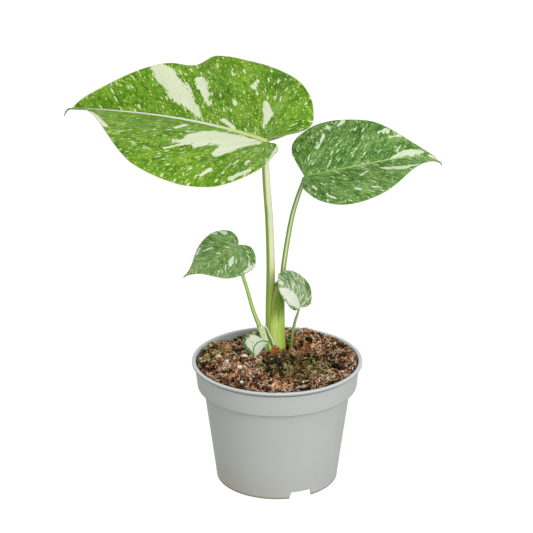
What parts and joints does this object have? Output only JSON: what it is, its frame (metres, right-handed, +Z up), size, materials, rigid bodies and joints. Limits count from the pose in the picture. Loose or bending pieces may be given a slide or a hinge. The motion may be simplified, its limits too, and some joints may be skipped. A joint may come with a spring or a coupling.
{
  "type": "potted monstera",
  "caption": "Young variegated monstera with heart-shaped cream-speckled green leaves on upright stalks, growing in a round pale grey nursery pot filled with peaty mix",
  "frame": {"origin": "on the pot's axis at the floor, the centre of the flat middle of the pot's underside", "axes": "+Z is up along the pot's axis; the front of the plant faces -Y; +X is to the right seen from the front"},
  "size_m": [0.2711, 0.169, 0.281],
  "materials": {
    "pot_plastic": "satin moulded polypropylene, pale grey",
    "potting_mix": "damp peat and coir fibre, matt",
    "stem": "green living stem",
    "leaf_large": "leathery leaf, satin, bright green with cream patches and flecks",
    "leaf_right": "leathery leaf, satin, deep green with cream flecks",
    "leaf_left": "leathery leaf, satin, grey green with cream patches",
    "leaf_small": "leathery leaf, satin, half cream and half green",
    "leaf_curled": "soft young leaf, satin, cream with a green rim",
    "stalk_large": "smooth living stalk, green on one side and cream on the other",
    "stalk_right": "smooth living stalk, green with pale stripes",
    "stalk_left": "smooth living stalk, green",
    "stalk_small": "smooth living stalk, deep green",
    "stalk_curled": "smooth living stalk, light green",
    "dry_sheath": "papery dried plant tissue, off-white",
    "root": "pale dry root",
    "perlite": "white porous grains",
    "bark": "orange-brown bark chips"
  },
  "bodies": {
    "root": {"pot": "pot_plastic", "soil": "potting_mix", "crown": "stem", "blade_large": "leaf_large", "blade_right": "leaf_right", "blade_left": "leaf_left", "blade_small": "leaf_small", "blade_curled": "leaf_curled", "stalk_large": "stalk_large", "stalk_right": "stalk_right", "stalk_left": "stalk_left", "stalk_small": "stalk_small", "stalk_curled": "stalk_curled", "dry_sheath": "dry_sheath", "surface_root": "root", "perlite_1": "perlite", "perlite_2": "perlite", "perlite_3": "perlite", "perlite_4": "perlite", "perlite_5": "perlite", "perlite_6": "perlite", "perlite_7": "perlite", "perlite_8": "perlite", "bark_1": "bark", "bark_2": "bark", "bark_3": "bark", "bark_4": "bark", "bark_5": "bark"}
  },
  "joints": []
}
